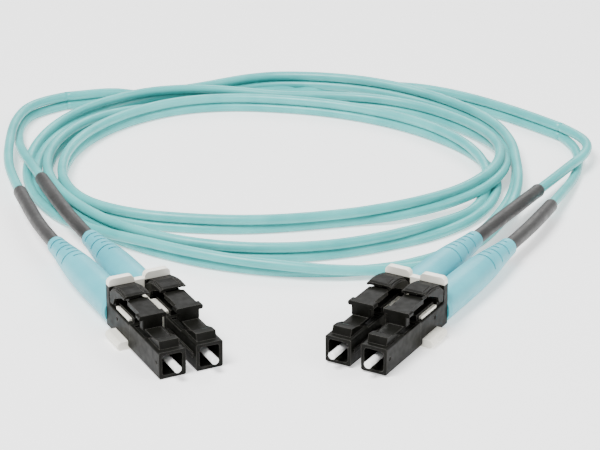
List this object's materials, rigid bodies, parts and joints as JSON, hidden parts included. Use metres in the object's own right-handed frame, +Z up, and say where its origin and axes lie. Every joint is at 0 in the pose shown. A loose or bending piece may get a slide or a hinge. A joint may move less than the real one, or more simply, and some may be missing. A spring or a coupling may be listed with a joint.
{
  "type": "fibre optic patch cord",
  "caption": "Duplex fibre patch cord with latching plug pairs, clips, tapered boots and sleeves at each end and a loosely coiled flat cable.",
  "frame": {"origin": "middle of the two connector ends' joint outline, on the surface the cord lies on", "axes": "+Z up from the table, -Y towards the plug noses, +X to the right seen from the noses"},
  "size_m": [0.1114, 0.133, 0.009],
  "materials": {
    "black_plastic": "fine-grained moulding with worn edges",
    "zirconia": "polished ceramic",
    "steel": "satin",
    "nickel_brass": "nickel plated",
    "ivory_plastic": "satin moulding",
    "aqua_boot": "satin elastomer",
    "aqua_jacket": "satin extruded jacket",
    "shrink_grey": "shrunk tube, faint ripple"
  },
  "bodies": {
    "cord_and_plugs": {"duplex_clip_a": "ivory_plastic", "plug_housing_a1": "black_plastic", "rear_body_a1": "black_plastic", "crimp_body_a1": "nickel_brass", "crimp_sleeve_a1": "nickel_brass", "boot_a1": "aqua_boot", "jacket_in_boot_a1": "aqua_jacket", "heat_shrink_a1": "shrink_grey", "leg_a1": "aqua_jacket", "ferrule_spring_a1": "steel", "plug_housing_a2": "black_plastic", "rear_body_a2": "black_plastic", "crimp_body_a2": "nickel_brass", "crimp_sleeve_a2": "nickel_brass", "boot_a2": "aqua_boot", "jacket_in_boot_a2": "aqua_jacket", "heat_shrink_a2": "shrink_grey", "leg_a2": "aqua_jacket", "ferrule_spring_a2": "steel", "pair_lead_a": "aqua_jacket", "duplex_clip_b": "ivory_plastic", "plug_housing_b1": "black_plastic", "rear_body_b1": "black_plastic", "crimp_body_b1": "nickel_brass", "crimp_sleeve_b1": "nickel_brass", "boot_b1": "aqua_boot", "jacket_in_boot_b1": "aqua_jacket", "heat_shrink_b1": "shrink_grey", "leg_b1": "aqua_jacket", "ferrule_spring_b1": "steel", "plug_housing_b2": "black_plastic", "rear_body_b2": "black_plastic", "crimp_body_b2": "nickel_brass", "crimp_sleeve_b2": "nickel_brass", "boot_b2": "aqua_boot", "jacket_in_boot_b2": "aqua_jacket", "heat_shrink_b2": "shrink_grey", "leg_b2": "aqua_jacket", "ferrule_spring_b2": "steel", "pair_lead_b": "aqua_jacket", "cord_coil": "aqua_jacket"},
    "latch_a1": {"latch_lever_a1": "black_plastic"},
    "trigger_a1": {"trigger_lever_a1": "black_plastic"},
    "ferrule_assembly_a1": {"ferrule_a1": "zirconia", "ferrule_holder_a1": "steel"},
    "latch_a2": {"latch_lever_a2": "black_plastic"},
    "trigger_a2": {"trigger_lever_a2": "black_plastic"},
    "ferrule_assembly_a2": {"ferrule_a2": "zirconia", "ferrule_holder_a2": "steel"},
    "latch_b1": {"latch_lever_b1": "black_plastic"},
    "trigger_b1": {"trigger_lever_b1": "black_plastic"},
    "ferrule_assembly_b1": {"ferrule_b1": "zirconia", "ferrule_holder_b1": "steel"},
    "latch_b2": {"latch_lever_b2": "black_plastic"},
    "trigger_b2": {"trigger_lever_b2": "black_plastic"},
    "ferrule_assembly_b2": {"ferrule_b2": "zirconia", "ferrule_holder_b2": "steel"}
  },
  "joints": [
    {"name": "latch_press_a1", "type": "hinge", "parent": "cord_and_plugs", "child": "latch_a1", "pos_m": [-0.01868, -0.03297, 0.00487], "axis": [0.891, 0.454, 0], "range_deg": [-6.5, 0], "stiffness_Nm_per_rad": 0.0012},
    {"name": "trigger_press_a1", "type": "hinge", "parent": "cord_and_plugs", "child": "trigger_a1", "pos_m": [-0.02553, -0.01954, 0.00605], "axis": [0.891, 0.454, 0], "range_deg": [0, 12], "stiffness_Nm_per_rad": 0.0012},
    {"name": "ferrule_float_a1", "type": "slide", "parent": "cord_and_plugs", "child": "ferrule_assembly_a1", "axis": [-0.4539, 0.8908, 0.0227], "range_m": [0, 0.001], "stiffness_N_per_m": 3000, "springref_m": -0.0018, "deforming": ["ferrule_spring_a1"]},
    {"name": "latch_press_a2", "type": "hinge", "parent": "cord_and_plugs", "child": "latch_a2", "pos_m": [-0.01311, -0.03014, 0.00487], "axis": [0.891, 0.454, 0], "range_deg": [-6.5, 0], "stiffness_Nm_per_rad": 0.0012},
    {"name": "trigger_press_a2", "type": "hinge", "parent": "cord_and_plugs", "child": "trigger_a2", "pos_m": [-0.01996, -0.0167, 0.00605], "axis": [0.891, 0.454, 0], "range_deg": [0, 12], "stiffness_Nm_per_rad": 0.0012},
    {"name": "ferrule_float_a2", "type": "slide", "parent": "cord_and_plugs", "child": "ferrule_assembly_a2", "axis": [-0.4539, 0.8908, 0.0227], "range_m": [0, 0.001], "stiffness_N_per_m": 3000, "springref_m": -0.0018, "deforming": ["ferrule_spring_a2"]},
    {"name": "latch_press_b1", "type": "hinge", "parent": "cord_and_plugs", "child": "latch_b1", "pos_m": [0.00994, -0.02894, 0.00504], "axis": [0.8678, -0.497, 0], "range_deg": [-6.5, 0], "stiffness_Nm_per_rad": 0.0012},
    {"name": "trigger_press_b1", "type": "hinge", "parent": "cord_and_plugs", "child": "trigger_b1", "pos_m": [0.01744, -0.01584, 0.00606], "axis": [0.8678, -0.497, 0], "range_deg": [0, 12], "stiffness_Nm_per_rad": 0.0012},
    {"name": "ferrule_float_b1", "type": "slide", "parent": "cord_and_plugs", "child": "ferrule_assembly_b1", "axis": [0.4969, 0.8677, 0.0122], "range_m": [0, 0.001], "stiffness_N_per_m": 3000, "springref_m": -0.0018, "deforming": ["ferrule_spring_b1"]},
    {"name": "latch_press_b2", "type": "hinge", "parent": "cord_and_plugs", "child": "latch_b2", "pos_m": [0.01537, -0.03204, 0.00504], "axis": [0.8678, -0.497, 0], "range_deg": [-6.5, 0], "stiffness_Nm_per_rad": 0.0012},
    {"name": "trigger_press_b2", "type": "hinge", "parent": "cord_and_plugs", "child": "trigger_b2", "pos_m": [0.02287, -0.01895, 0.00606], "axis": [0.8678, -0.497, 0], "range_deg": [0, 12], "stiffness_Nm_per_rad": 0.0012},
    {"name": "ferrule_float_b2", "type": "slide", "parent": "cord_and_plugs", "child": "ferrule_assembly_b2", "axis": [0.4969, 0.8677, 0.0122], "range_m": [0, 0.001], "stiffness_N_per_m": 3000, "springref_m": -0.0018, "deforming": ["ferrule_spring_b2"]}
  ],
  "couplings": [
    {"joint": "latch_press_a1", "follows": "trigger_press_a1", "ratio": -0.5},
    {"joint": "latch_press_a2", "follows": "trigger_press_a2", "ratio": -0.5},
    {"joint": "latch_press_b1", "follows": "trigger_press_b1", "ratio": -0.5},
    {"joint": "latch_press_b2", "follows": "trigger_press_b2", "ratio": -0.5}
  ]
}
